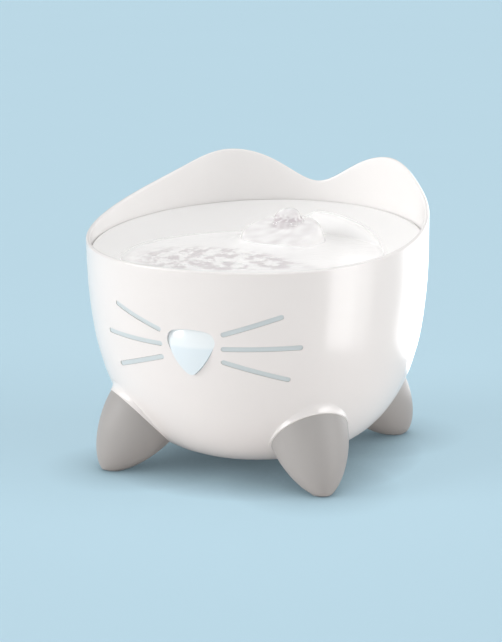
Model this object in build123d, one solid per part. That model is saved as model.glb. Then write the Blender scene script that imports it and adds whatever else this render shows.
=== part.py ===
from build123d import *
from math import acos, atan, cos, degrees, radians, sin, sqrt
import os

# Pet water fountain: a round white bowl with a raised, two-peaked back rim,
# four conical feet, a tilted lift-out drinking tray, and a small pump in a
# filter chamber that feeds a bubbling spout at the back of the tray.
# Millimetres. Origin on the ground under the bowl's axis, +Z up, face to -Y.

# ---------------------------------------------------------------- bowl
BOWL_RADIUS = 107.0
BOWL_WALL = 2.6
BOWL_BOTTOM = 4.0            # height of the bowl's underside above the ground
BOWL_SHOULDER = 153.5        # height where the curved side turns vertical
BASE_SQUARENESS = 3.1        # superellipse exponents of the side profile
SIDE_SQUARENESS = 2.87
PROFILE_POINTS = 13
SEAT_HEIGHT = 136.9          # height of the tray's rim plane on the bowl's axis
# Rise of the bowl's rim above SEAT_HEIGHT, by bearing from the face
# (0 = front, 145 = the two peaks, 180 = back notch).
RIM_RISES = {
    0: 2.2, 25: 2.1, 50: 2.9, 75: 6.9, 95: 13.2, 115: 22.7,
    130: 32.4, 145: 41.8, 160: 37.9, 170: 28.4, 180: 21.3,
}
RIM_ROUND = 1.15             # edge radius on both sides of the rim
RIM_BAND = 8.0               # reach of the rim cut on both sides of the wall
BOWL_BLANK_TOP = SEAT_HEIGHT + max(RIM_RISES.values()) + RIM_BAND

# ---------------------------------------------------------------- tray and its seat
SEAT_SLOPE = 0.0765          # rise of the rim plane towards the back
TRAY_CLEARANCE = 0.8         # between the tray's skirt and the bowl's straight wall
TRAY_WALL = 2.2
TRAY_RIM = 1.2               # flat rim around the dish
TRAY_SKIRT = 7.0             # depth of the skirt below the rim plane
TRAY_DEPTH = 16.0            # rim plane to dish floor
DISH_SLOPE = 28.5            # slope of the dish's side, degrees
DISH_ROUND = 10.0            # radius between the dish's side and floor
TRAY_BLANK = 40.0            # half height of the blanks of the tray and its ledge
TRAY_EDGE = BOWL_RADIUS - BOWL_WALL - TRAY_CLEARANCE
LEDGE_WIDTH = 3.6            # bowl ledge that carries the skirt
LEDGE_THICKNESS = 2.4
FINGER_RADIUS = 9.0          # finger notch in the front of the tray
FINGER_REACH = 7.0
DRAIN_BEARINGS = (-40, -30, -20, 20, 30, 40)
DRAIN_INSET = 10.6           # tray's edge to the middle of the drain slots
DRAIN_LENGTH = 6.0
DRAIN_WIDTH = 3.0

# ---------------------------------------------------------------- mound and spout
SPOUT_INSET = 54.0           # spout axis from the bowl's outside at the back
SPOUT_Y = BOWL_RADIUS - SPOUT_INSET
MOUND_Y = SPOUT_Y - 11.0
MOUND_TOP_RADIUS = 21.8
MOUND_TOP = SEAT_HEIGHT + 13.1   # height of the full cone, before its top is sloped
MOUND_BASE_RADIUS = 31.0
MOUND_BASE = SEAT_HEIGHT - 20.9
MOUND_CREST = SEAT_HEIGHT + 2.7  # height of the sloping top at the spout
MOUND_FALL = 0.25            # slope of the top, down towards the front
MOUND_ROUND = 4.0
SOCKET_BORE = 8.6            # radius of the tray's spout socket
SOCKET_WALL = 1.8
SOCKET_BOTTOM = SEAT_HEIGHT - 26.9
SPOUT_SEAT = SEAT_HEIGHT + 2.1   # flat seat of the spout's flange
SPOUT_FLANGE = 10.0
SPOUT_FLANGE_THICKNESS = 1.4
SPOUT_BODY = 8.4
SPOUT_BORE = 6.4
SPOUT_LENGTH = 8.0
SPOUT_BLADE = 1.2
SPOUT_HUB = 2.2

# ---------------------------------------------------------------- feet
FOOT_BEARINGS = {
    "foot_front_left": -45, "foot_front_right": 45,
    "foot_rear_right": 135, "foot_rear_left": -135,
}
FOOT_TILT = 38.4             # foot axis from the vertical
FOOT_TIP_INSET = 2.2         # tip of the foot's axis inside the bowl's radius
FOOT_TIP_RADIUS = BOWL_RADIUS - FOOT_TIP_INSET
FOOT_TIP_HEIGHT = 0.0
FOOT_RADIUS = 24.6
FOOT_LENGTH = 46.0           # tip to the full radius
FOOT_ROOT = 14.0             # straight length above the full radius
FOOT_TIP_POWER = 1.66        # radius = full radius * (1 - s**p)**(1/q)
FOOT_SIDE_POWER = 1.6
FOOT_POINTS = 9
HOOD_LOW = 22.0              # height where the hood starts to stand proud
HOOD_HIGH = 50.0             # height of the hood's lip
HOOD_PROUD = 3.9             # how far the lip stands proud of the bowl
HOOD_STEP = 0.5              # hood outside the foot's own surface
HOOD_FLARE = 6.0             # radius of the cove between hood and bowl
HOOD_COVE_START = 44.4       # distance of the cove from the foot's tip
HOOD_COVE_TURN = 64.0        # degrees
STUB_RADIUS = 5.0            # peg on the bowl that each foot is pressed on
STUB_END = 18.0              # peg end from the foot's tip
STUB_CLEARANCE = 0.05
PAD_RADIUS = 6.5
PAD_INSET = 7.8              # tip of the foot's axis to the pad's centre
PAD_CENTRE = FOOT_TIP_RADIUS - PAD_INSET
PAD_THICKNESS = 2.2
PAD_PROUD = 0.8

# ---------------------------------------------------------------- face
NOSE_DROP = 47.1             # nose's centre below the tray's rim plane
NOSE_HEIGHT = SEAT_HEIGHT - NOSE_DROP
NOSE_WIDTH = 33.2            # rounded triangle, between its sharp corners
NOSE_CORNER = 10.6           # sharp upper corners above the nose's centre
NOSE_BOTTOM = -15.6          # sharp lower corner
NOSE_BROW = 2.9              # rise of the top edge between its corners
NOSE_CHEEK = 2.6             # bulge of each side
NOSE_UPPER_ROUND = 6.0
NOSE_TIP_ROUND = 4.0
NOSE_GAP = 0.25
NOSE_DOME = 42.0             # radius of the lens front
NOSE_PROUD = 1.2
NOSE_LAP = 1.5               # lens flange beyond the opening
GASKET_THICKNESS = 1.0
LENS_FLANGE = 2.6            # thickness of the lens flange at the nose's tip
WHISKER_WIDTH = 3.0
WHISKER_GAP = 0.12
WHISKER_RECESS = 0.35
# bearing of the middle, half length, inner and outer end above the nose's centre
WHISKERS = [(20.6, 18.4, 11.4, 23.0), (23.7, 24.0, 2.9, 3.4), (21.6, 20.2, -4.9, -16.8)]
WINDOW_LAP = 1.0             # window plate beyond each whisker slot
WINDOW_PLATE = 2.0
WINDOW_BOND = 0.05
WINDOW_BAR_BEARING = 23.0
WINDOW_BAR_WIDTH = 12.0
WINDOW_BAR_LOW = -15.8       # from the nose's centre
WINDOW_BAR_HIGH = 21.2

# ---------------------------------------------------------------- light behind the nose
LIGHT_LAP = 0.8              # housing beyond the lens flange
LIGHT_DEPTH = 9.0
LIGHT_WALL = 1.6
LIGHT_EAR_WIDTH = 8.0
LIGHT_EAR_SPREAD = 11.5      # screws left and right of the nose's centre
LIGHT_EAR_DROP = 11.0        # screws below the nose's centre
LIGHT_EAR_THICKNESS = 2.0
LIGHT_BOSS = 3.4
LIGHT_SCREW = 1.1
LIGHT_SCREW_HEAD = 2.4
LIGHT_SCREW_LENGTH = 3.0     # in the boss
BOARD_THICKNESS = 1.6
BOARD_WIDTH = 16.0
BOARD_HEIGHT = 12.0
LED_RADIUS = 2.4
LED_LENGTH = 3.2
LED_SPREAD = 4.5
LED_HEIGHT = NOSE_HEIGHT + 5.0
LIGHT_LEAD_RADIUS = 1.2
LIGHT_LEAD_FLOOR = 30.0      # height at which the lead runs round the bowl
LIGHT_LEAD_INSET = 33.0      # its run there, inside the bowl's radius
LIGHT_LEAD_END_X = 3.8
LIGHT_LEAD_BEND = 3.0

# ---------------------------------------------------------------- power inlet
INLET_HEIGHT = 42.0
INLET_BOSS = 12.0
INLET_INSET = 13.0           # outer face of the boss inside the bowl's radius
INLET_DEPTH = 14.0           # outer to inner face of the boss
INLET_OUTER_Y = BOWL_RADIUS - INLET_INSET
INLET_INNER_Y = INLET_OUTER_Y - INLET_DEPTH
INLET_BODY = 5.9
INLET_CLEARANCE = 0.1
INLET_FLANGE = 8.5
INLET_FLANGE_THICKNESS = 2.0
INLET_SEAL = 1.0
INLET_SOCKET = 2.8
INLET_SOCKET_DEPTH = 9.5
INLET_PIN = 1.0
INLET_NUT = 9.0
INLET_NUT_THICKNESS = 3.0
INLET_TAIL = 2.0

# ---------------------------------------------------------------- filter chamber and lid
CHAMBER_WIDTH = 96.0
CHAMBER_DEPTH = 84.0
CHAMBER_BEHIND = 13.0        # spout axis to the chamber's back
CHAMBER_Y = SPOUT_Y + CHAMBER_BEHIND - CHAMBER_DEPTH / 2
CHAMBER_CORNER = 30.0
CHAMBER_WALL = 2.0
CHAMBER_UNDERSIDE = 20.0
CHAMBER_ROUND = 8.0
LEG_RADIUS = 4.0
LEG_SPREAD_X = 30.0
LEG_SPREAD_Y = 24.0
LEG_GAP = 0.1
FILTER_LEDGE_WIDTH = 3.0
FILTER_LEDGE_THICKNESS = 1.6
FILTER_HEIGHT = 19.5
FILTER_GAP = 0.8
FILTER_WALL = 1.4
FILTER_FLOOR = 1.6
FILTER_FOAM = 7.0
FILTER_PAD_GAP = 0.2
FILTER_NOTCH = 12.0
GRID_PITCH = 10.0
GRID_HOLE = 7.6
LID_THICKNESS = 2.2
LID_SKIRT = 3.4
LID_SLOT_WIDTH = 3.0
LID_SLOT_LENGTH = 40.0
LID_SLOT_PITCH = 7.0
LID_SLOT_COUNT = 9
LID_SLOT_Y = 14.0

# ---------------------------------------------------------------- riser
RISER_OUTER = 8.2
RISER_BORE = 6.0
RISER_LAP = 7.5              # riser over the pump's outlet
RISER_TOP = SPOUT_SEAT - SPOUT_LENGTH - 3.0
RISER_COLLAR = 11.0
RISER_COLLAR_THICKNESS = 2.0
ORING_HEIGHT = SOCKET_BOTTOM + 11.0
ORING_SECTION = 1.0
ORING_SQUEEZE_GAP = 0.1      # O-ring short of the socket's wall
FIT_GAP = 0.3                # between parts that slide over each other

# ---------------------------------------------------------------- pump
OUTLET_OFFSET = 11.0         # pump axis to the upright outlet, along Y
PUMP_Y = SPOUT_Y - OUTLET_OFFSET
PUMP_HALF_Y = 14.0
PUMP_HALF_Z = 15.0
PUMP_ROUND = 3.0
CUP_HEIGHT = 6.0             # pump's underside above the chamber's floor
PUMP_Z = CHAMBER_UNDERSIDE + CHAMBER_WALL + CUP_HEIGHT + PUMP_HALF_Z
VOLUTE_RADIUS = 14.0
VOLUTE_BORE = 11.8
VOLUTE_FRONT_X = 6.5
VOLUTE_DEPTH = 11.5
VOLUTE_BACK_X = VOLUTE_FRONT_X - VOLUTE_DEPTH
MOTOR_FRONT_X = VOLUTE_BACK_X - 2.0
MOTOR_LENGTH = 29.0
PUMP_BACK_X = MOTOR_FRONT_X - MOTOR_LENGTH
OUTLET_OUTER = 5.6
OUTLET_BORE = 4.0
OUTLET_TOP = PUMP_Z + 29.0
RISER_BOTTOM = OUTLET_TOP - RISER_LAP
FILTER_LEDGE = PUMP_Z + PUMP_HALF_Z + 2.0
FILTER_TOP = FILTER_LEDGE + FILTER_HEIGHT
CHAMBER_TOP = FILTER_TOP + 4.5
WELL_BORE = 6.4
WELL_WALL = 1.2
WELL_END_X = PUMP_BACK_X + 5.7
SHAFT_RADIUS = 1.0
SHAFT_CLEARANCE = 0.05
SHAFT_END_GAP = 0.3
BUSH_RADIUS = 3.0
BUSH_LENGTH = 2.5
ROTOR_RADIUS = 5.6
ROTOR_HUB = 2.6
ROTOR_BACK_X = WELL_END_X + 0.8
ROTOR_FRONT_X = MOTOR_FRONT_X - 2.0
IMPELLER_RADIUS = 10.0
IMPELLER_PLATE = 1.2
IMPELLER_BACK_X = VOLUTE_BACK_X + 0.6
IMPELLER_FRONT_X = VOLUTE_FRONT_X - 3.0
BLADE_COUNT = 6
BLADE_THICKNESS = 1.2
COVER_THICKNESS = 2.0
COVER_SPIGOT = 1.5
COVER_SPIGOT_WALL = 1.4
COVER_HUB = 4.4
INTAKE_RADIUS = 9.0
SPOKE_COUNT = 4
SPOKE_WIDTH = 1.8
DIAL_RADIUS = 12.0
DIAL_THICKNESS = 1.8
DIAL_GAP = 0.3
DIAL_PIN = 2.6
DIAL_PIN_CLEARANCE = 0.08
DIAL_CAP = 4.2
DIAL_CAP_THICKNESS = 1.2
DIAL_TAB_WIDTH = 3.0
DIAL_TAB_REACH = 3.0
STATOR_HALF_Y = 11.0
STATOR_HALF_Z = 12.5
STATOR_BACK_X = PUMP_BACK_X + 8.0
STATOR_FRONT_X = MOTOR_FRONT_X - 5.0
STATOR_GAP = 0.1
COIL_HEIGHT = 4.0
COIL_HALF_Y = 8.0
CUP_RADIUS = 5.0
CUP_NECK = 2.2
CUP_LIP = 1.0
CUP_PLUG = 2.0
CUP_X = (PUMP_BACK_X + 8.0, MOTOR_FRONT_X - 6.0)
CUP_SPREAD_Y = 7.0
LEAD_RADIUS = 1.6
LEAD_X = PUMP_BACK_X + 14.0
LEAD_Z = PUMP_Z + 5.0
LEAD_TURN_Y = SPOUT_Y + 17.4
LEAD_BEND = 4.5

X_AXIS = Vector(1, 0, 0)
Z_AXIS = Vector(0, 0, 1)
FAR = 200.0                  # half size of cutting blocks


# ---------------------------------------------------------------- helpers
def cyl(radius, low, high, x=0.0, y=0.0):
    """Upright cylinder between two heights."""
    return Pos(x, y, (low + high) / 2) * Cylinder(radius, high - low)


def cyl_x(radius, low, high, y=PUMP_Y, z=PUMP_Z):
    """Cylinder along X between two stations, on the pump's axis by default."""
    return Pos((low + high) / 2, y, z) * Rot(0, 90, 0) * Cylinder(radius, high - low)


def cyl_y(radius, low, high, x=0.0, z=INLET_HEIGHT):
    """Cylinder along Y between two stations, on the inlet's axis by default."""
    return Pos(x, (low + high) / 2, z) * Rot(90, 0, 0) * Cylinder(radius, high - low)


def block(x0, x1, y0, y1, z0, z1):
    """Box between two corners."""
    return Pos((x0 + x1) / 2, (y0 + y1) / 2, (z0 + z1) / 2) * Box(x1 - x0, y1 - y0, z1 - z0)


def at_bearing(bearing):
    """Turn a shape built on the -Y side to a bearing, counted towards +X."""
    return Rot(0, 0, bearing)


# ---------------------------------------------------------------- bowl
def bowl_solid(inset, top, flare=0.0):
    """Solid inside the bowl's side profile, moved inwards by inset. A flare
    pushes the side out, from nothing at HOOD_LOW to all of it at HOOD_HIGH."""
    radius = BOWL_RADIUS - inset
    depth = BOWL_SHOULDER - BOWL_BOTTOM - inset
    points = []
    for i in range(PROFILE_POINTS):
        turn = radians(90 * (i / (PROFILE_POINTS - 1)) ** 1.5)
        out = radius * sin(turn) ** (2 / BASE_SQUARENESS)
        height = BOWL_SHOULDER - depth * max(cos(turn), 0) ** (2 / SIDE_SQUARENESS)
        share = max((height - HOOD_LOW) / (HOOD_HIGH - HOOD_LOW), 0)
        points.append(Vector(out + flare * min(share, 1.2), 0, height))
    side = Edge.make_spline(points, tangents=[X_AXIS, Z_AXIS])
    edge = points[-1].X
    rest = Polyline((edge, 0, BOWL_SHOULDER), (edge, 0, top), (0, 0, top), (0, 0, BOWL_BOTTOM + inset))
    return revolve(make_face([side] + list(rest.edges())), Axis.Z)


def rim_curve(radius):
    """Closed curve of the rim line, carried on a cylinder of this radius."""
    bearings = list(RIM_RISES) + [-b for b in reversed(RIM_RISES) if 0 < b < 180]
    points = []
    for bearing in bearings:
        turn = radians(bearing)
        height = SEAT_HEIGHT + RIM_RISES[abs(bearing)]
        points.append(Vector(radius * sin(turn), -radius * cos(turn), height))
    return Edge.make_spline(points, periodic=True)


def rim_cutter():
    """Everything above the rim line, near the wall."""
    inside = rim_curve(BOWL_RADIUS - RIM_BAND)
    outside = rim_curve(BOWL_RADIUS + RIM_BAND)
    return Solid.extrude(Face.make_surface_from_curves(inside, outside), Vector(0, 0, 2 * TRAY_BLANK))


def wall_radius(height):
    """Outside radius of the bowl's side at a height."""
    drop = (BOWL_SHOULDER - height) / (BOWL_SHOULDER - BOWL_BOTTOM)
    turn = acos(drop ** (SIDE_SQUARENESS / 2))
    return BOWL_RADIUS * sin(turn) ** (2 / BASE_SQUARENESS)


def seat_frame():
    """Tilted frame of the tray's rim: local Z is square to the rim plane."""
    return Pos(0, 0, SEAT_HEIGHT) * Rot(degrees(atan(SEAT_SLOPE)), 0, 0)


def seat_slab(low, high):
    """Slab between two levels of the tilted frame."""
    return seat_frame() * Pos(0, 0, (low + high) / 2) * Cylinder(FAR, high - low)


def tray_blank(radius):
    """Upright cylinder that reaches well above and below the tray's seat."""
    return cyl(radius, SEAT_HEIGHT - TRAY_BLANK, SEAT_HEIGHT + TRAY_BLANK)


def tray_ledge():
    """Tilted ring on the bowl's wall that carries the tray's skirt."""
    wall = BOWL_RADIUS - BOWL_WALL
    ring = tray_blank(wall + 0.5) - tray_blank(wall - LEDGE_WIDTH)
    return seat_slab(-TRAY_SKIRT - LEDGE_THICKNESS, -TRAY_SKIRT) & ring


# ---------------------------------------------------------------- feet
def foot_frame():
    """Frame at the tip of the foot's axis, -Y side: local Z runs up the axis."""
    return Pos(0, -FOOT_TIP_RADIUS, FOOT_TIP_HEIGHT) * Rot(-FOOT_TILT, 0, 0)


def foot_profile(extra):
    """Side of a foot from its tip to its full radius, grown by extra."""
    points = []
    for i in range(FOOT_POINTS):
        s = 1 - (i / (FOOT_POINTS - 1)) ** 1.7
        radius = (FOOT_RADIUS + extra) * (1 - s ** FOOT_TIP_POWER) ** (1 / FOOT_SIDE_POWER)
        points.append(Vector(radius, 0, FOOT_LENGTH * (1 - s)))
    return points


def foot_blank():
    """Rounded cone of a foot about its own axis, longer than the foot."""
    points = foot_profile(0)
    side = Edge.make_spline(points)
    top = FOOT_LENGTH + FOOT_ROOT
    rest = Polyline((FOOT_RADIUS, 0, FOOT_LENGTH), (FOOT_RADIUS, 0, top), (0, 0, top), (0, 0, 0))
    return foot_frame() * revolve(make_face([side] + list(rest.edges())), Axis.Z)


def hood_blank():
    """The foot's cone carried on past the joint, with a cove up to the bowl."""
    points = foot_profile(HOOD_STEP)
    edge = FOOT_RADIUS + HOOD_STEP
    points = [p for p in points if p.Z < HOOD_COVE_START - 4] + [Vector(edge, 0, HOOD_COVE_START)]
    side = Edge.make_spline(points, tangents=[X_AXIS, Z_AXIS])
    turn = radians(HOOD_COVE_TURN)
    middle = (edge + HOOD_FLARE * (1 - cos(turn / 2)), 0, HOOD_COVE_START + HOOD_FLARE * sin(turn / 2))
    end = (edge + HOOD_FLARE * (1 - cos(turn)), 0, HOOD_COVE_START + HOOD_FLARE * sin(turn))
    cove = ThreePointArc((edge, 0, HOOD_COVE_START), middle, end)
    rest = Polyline(end, (0, 0, end[2]), (0, 0, 0))
    return foot_frame() * revolve(make_face([side, cove.edge()] + list(rest.edges())), Axis.Z)


def foot_peg(radius, end):
    """Peg down the foot's axis, from inside the bowl to a distance from the tip."""
    top = FOOT_LENGTH + 2
    return foot_frame() * Pos(0, 0, (top + end) / 2) * Cylinder(radius, top - end)


def make_foot(collar, bearing):
    foot = foot_blank() - collar - bowl_solid(0, BOWL_BLANK_TOP)
    foot -= foot_peg(STUB_RADIUS + STUB_CLEARANCE, STUB_END - FIT_GAP)
    foot -= block(-FAR, FAR, -FAR, FAR, -FAR, PAD_PROUD)
    foot -= cyl(PAD_RADIUS, -1, PAD_THICKNESS, 0, -PAD_CENTRE)
    return at_bearing(bearing) * foot


def make_foot_pads():
    pad = cyl(PAD_RADIUS, 0, PAD_THICKNESS, 0, -PAD_CENTRE)
    pad = chamfer(pad.faces().sort_by(Axis.Z)[0].edges(), 0.5)
    return Compound([at_bearing(b) * pad for b in FOOT_BEARINGS.values()])


# ---------------------------------------------------------------- face
# Distance from the bowl's axis to the flat back of the lens flange.
FLANGE_BACK = (wall_radius(NOSE_HEIGHT + NOSE_BOTTOM - NOSE_LAP)
               - BOWL_WALL - GASKET_THICKNESS - LENS_FLANGE)


def nose_prism(grow, near, far):
    """Prism of the nose outline between two distances in front of the axis."""
    half = NOSE_WIDTH / 2
    left, right, low = (-half, NOSE_CORNER), (half, NOSE_CORNER), (0, NOSE_BOTTOM)
    rise = sqrt(half ** 2 + (NOSE_CORNER - NOSE_BOTTOM) ** 2)
    out = NOSE_CHEEK * (NOSE_CORNER - NOSE_BOTTOM) / rise
    down = NOSE_CHEEK * half / rise
    cheek = (half / 2 + out, (NOSE_CORNER + NOSE_BOTTOM) / 2 - down)
    outline = ThreePointArc(left, (0, NOSE_CORNER + NOSE_BROW), right)
    outline += ThreePointArc(right, cheek, low)
    outline += ThreePointArc(low, (-cheek[0], cheek[1]), left)
    face = make_face(outline.edges())
    corners = face.vertices().sort_by(Axis.Y)
    face = fillet(corners[1:], NOSE_UPPER_ROUND)
    face = fillet(face.vertices().sort_by(Axis.Y)[0], NOSE_TIP_ROUND)
    if grow:
        face = offset(face, amount=grow)
    return Pos(0, -near, NOSE_HEIGHT) * Rot(90, 0, 0) * extrude(face, far - near)


def whisker_prism(whisker, grow):
    """Slot shape of one whisker on the right, square to the wall there."""
    bearing, half, inner, outer = whisker
    height = NOSE_HEIGHT + (inner + outer) / 2
    rise = outer - inner
    length = sqrt((2 * half) ** 2 + rise ** 2)
    slope = degrees(atan(rise / (2 * half)))
    slot = extrude(SlotOverall(length + 2 * grow, WHISKER_WIDTH + 2 * grow), 24)
    placed = Pos(0, -BOWL_RADIUS - 6, height) * Rot(-90, 0, 0) * Rot(0, 0, -slope) * slot
    return at_bearing(bearing) * placed


def window_bar():
    """Upright band that joins a window's three whiskers."""
    middle = NOSE_HEIGHT + (WINDOW_BAR_LOW + WINDOW_BAR_HIGH) / 2
    outline = RectangleRounded(WINDOW_BAR_WIDTH, WINDOW_BAR_HIGH - WINDOW_BAR_LOW, 3)
    bar = Pos(0, -BOWL_RADIUS - 6, middle) * Rot(-90, 0, 0) * extrude(outline, 24)
    return at_bearing(WINDOW_BAR_BEARING) * bar


def make_window_right():
    behind = bowl_solid(BOWL_WALL + WINDOW_BOND, BOWL_SHOULDER + 1)
    hollow = bowl_solid(BOWL_WALL + WINDOW_BOND + WINDOW_PLATE, BOWL_SHOULDER + 2)
    front = bowl_solid(WHISKER_RECESS, BOWL_SHOULDER + 1)
    plate = window_bar()
    for whisker in WHISKERS:
        plate += whisker_prism(whisker, WINDOW_LAP)
    window = plate & behind
    for whisker in WHISKERS:
        window += whisker_prism(whisker, -WHISKER_GAP) & front
    return window - hollow


def make_nose_lens():
    centre = -(BOWL_RADIUS - 2.9 + NOSE_PROUD) + NOSE_DOME
    dome = Pos(0, centre, NOSE_HEIGHT) * Sphere(NOSE_DOME)
    lens = nose_prism(0, FLANGE_BACK, BOWL_RADIUS + 5) & dome
    seat = bowl_solid(BOWL_WALL + GASKET_THICKNESS, BOWL_SHOULDER + 1)
    return lens + (nose_prism(NOSE_LAP, FLANGE_BACK, BOWL_RADIUS) & seat)


def make_nose_gasket():
    outer = bowl_solid(BOWL_WALL, BOWL_SHOULDER + 1)
    inner = bowl_solid(BOWL_WALL + GASKET_THICKNESS, BOWL_SHOULDER + 2)
    ring = nose_prism(NOSE_LAP, FLANGE_BACK, BOWL_RADIUS) - nose_prism(NOSE_GAP, FLANGE_BACK, BOWL_RADIUS)
    return (ring & outer) - inner


# ---------------------------------------------------------------- light
EAR_BACK = FLANGE_BACK - LIGHT_EAR_THICKNESS
LIGHT_BACK = FLANGE_BACK - LIGHT_DEPTH
SCREW_PLACES = (-LIGHT_EAR_SPREAD, LIGHT_EAR_SPREAD)
SCREW_HEIGHT = NOSE_HEIGHT - LIGHT_EAR_DROP


def make_light_housing():
    cup = nose_prism(NOSE_LAP + LIGHT_LAP, LIGHT_BACK, FLANGE_BACK)
    half = LIGHT_EAR_WIDTH / 2
    reach = LIGHT_EAR_SPREAD + half
    ears = block(-reach, reach, -FLANGE_BACK, -EAR_BACK, SCREW_HEIGHT - half, SCREW_HEIGHT + half)
    ears = fillet(ears.edges().filter_by(Axis.Y), half - 0.1)
    housing = cup + ears
    housing -= nose_prism(NOSE_LAP + LIGHT_LAP - LIGHT_WALL, LIGHT_BACK + LIGHT_WALL, FLANGE_BACK + 1)
    for x in SCREW_PLACES:
        housing -= cyl_y(LIGHT_SCREW + 0.2, -FLANGE_BACK - 1, -LIGHT_BACK, x, SCREW_HEIGHT)
    return housing - cyl_y(LIGHT_LEAD_RADIUS + 0.2, -EAR_BACK, 0, 0, LED_HEIGHT)


def make_light_board():
    back = LIGHT_BACK + LIGHT_WALL
    board = block(-BOARD_WIDTH / 2, BOARD_WIDTH / 2, -back - BOARD_THICKNESS, -back,
                  LED_HEIGHT - BOARD_HEIGHT / 2, LED_HEIGHT + BOARD_HEIGHT / 2)
    return fillet(board.edges().filter_by(Axis.Y), 2)


def make_leds():
    base = -(LIGHT_BACK + LIGHT_WALL + BOARD_THICKNESS)
    led = cyl_y(LED_RADIUS, base - LED_LENGTH, base, 0, LED_HEIGHT)
    led = fillet(led.faces().sort_by(Axis.Y)[0].edges(), LED_RADIUS * 0.6)
    return Compound([Pos(x, 0, 0) * led for x in (-LED_SPREAD, LED_SPREAD)])


def make_light_screws():
    screws = []
    for x in SCREW_PLACES:
        shank = cyl_y(LIGHT_SCREW, -FLANGE_BACK - LIGHT_SCREW_LENGTH, -EAR_BACK, x, SCREW_HEIGHT)
        head = cyl_y(LIGHT_SCREW_HEAD, -EAR_BACK, -EAR_BACK + 1.4, x, SCREW_HEIGHT)
        screws.append(shank + head)
    return Compound(screws)


def make_light_lead():
    """Lead from the board, down the wall and round the bowl to the inlet's tail."""
    back = -(LIGHT_BACK + LIGHT_WALL)
    down = back + 6
    ring = BOWL_RADIUS - LIGHT_LEAD_INSET
    tail = INLET_INNER_Y - INLET_NUT_THICKNESS - INLET_TAIL
    points = [(0, back, LED_HEIGHT), (0, down, LED_HEIGHT), (0, down, LIGHT_LEAD_FLOOR + 14)]
    for bearing in (30, 90, 145, 160):
        turn = radians(bearing)
        points.append((ring * sin(turn), -ring * cos(turn), LIGHT_LEAD_FLOOR))
    points.append((LIGHT_LEAD_END_X, tail - 4.4, INLET_HEIGHT))
    points.append((LIGHT_LEAD_END_X, tail, INLET_HEIGHT))
    route = FilletPolyline(*points, radius=LIGHT_LEAD_BEND)
    section = Plane(origin=route @ 0, z_dir=route % 0) * Circle(LIGHT_LEAD_RADIUS)
    return sweep(section, path=route)


# ---------------------------------------------------------------- bowl shell
def make_reservoir_shell(collar):
    outer = bowl_solid(0, BOWL_BLANK_TOP)
    inner = bowl_solid(BOWL_WALL, BOWL_BLANK_TOP + 5)
    shell = outer - inner - rim_cutter()
    top = shell.faces().filter_by(GeomType.BSPLINE).sort_by(SortBy.AREA)[-1]
    shell = fillet([e for e in top.edges() if e.length > 10], RIM_ROUND)
    shell += tray_ledge()
    hood = (hood_blank() & collar) + (foot_peg(STUB_RADIUS, STUB_END))
    hood -= inner
    for bearing in FOOT_BEARINGS.values():
        shell += at_bearing(bearing) * hood
    shell += cyl_y(INLET_BOSS, INLET_INNER_Y, INLET_OUTER_Y)
    shell -= cyl_y(INLET_BODY + INLET_CLEARANCE, INLET_INNER_Y - 1, INLET_OUTER_Y + 1)
    boss_end = -wall_radius(SCREW_HEIGHT) + BOWL_WALL / 2
    pilot_end = -FLANGE_BACK - LIGHT_SCREW_LENGTH - FIT_GAP
    for x in SCREW_PLACES:
        shell += cyl_y(LIGHT_BOSS, boss_end, -FLANGE_BACK, x, SCREW_HEIGHT) & outer
        shell -= cyl_y(LIGHT_SCREW + 0.02, pilot_end, -FLANGE_BACK + 1, x, SCREW_HEIGHT)
    shell -= nose_prism(NOSE_GAP, FLANGE_BACK - 10, BOWL_RADIUS + 5)
    for whisker in WHISKERS:
        slot = whisker_prism(whisker, 0)
        shell -= slot
        shell -= mirror(slot, Plane.YZ)
    return shell


# ---------------------------------------------------------------- tray
def dish_void(drop):
    """Space above the dish's surface, lowered by drop, in the tilted frame."""
    floor = -TRAY_DEPTH - drop
    run = TRAY_BLANK
    slope = radians(DISH_SLOPE)
    fall = drop * (1 / cos(slope) - 1)
    rim_radius = TRAY_EDGE - TRAY_RIM
    foot_radius = rim_radius - (TRAY_DEPTH - fall) / (sin(slope) / cos(slope))
    far_radius = rim_radius + run
    far_height = run * sin(slope) / cos(slope) - drop - fall
    outline = Polyline((0, 0, floor), (foot_radius, 0, floor), (far_radius, 0, far_height),
                       (far_radius, 0, TRAY_BLANK), (0, 0, TRAY_BLANK), close=True)
    void = revolve(make_face(outline.edges()), Axis.Z)
    corner = [e for e in void.edges().filter_by(GeomType.CIRCLE) if abs(e.center().Z - floor) < 0.01]
    return seat_frame() * fillet(corner, DISH_ROUND)


def mound_solid(drop):
    """Sloping-topped cone under the spout, shrunk by drop on every side."""
    height = MOUND_TOP - MOUND_BASE
    cone = Cone(MOUND_BASE_RADIUS - drop, MOUND_TOP_RADIUS - drop, height)
    cone = Pos(0, MOUND_Y, (MOUND_TOP + MOUND_BASE) / 2) * cone
    top = Pos(0, SPOUT_Y, MOUND_CREST - drop) * Rot(degrees(atan(MOUND_FALL)), 0, 0)
    mound = cone - top * Pos(0, 0, FAR / 2) * Box(FAR, FAR, FAR)
    crest = mound.faces().filter_by(GeomType.PLANE).sort_by(Axis.Z)[-1]
    return fillet(crest.edges(), max(MOUND_ROUND - drop, 0.8))


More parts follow.
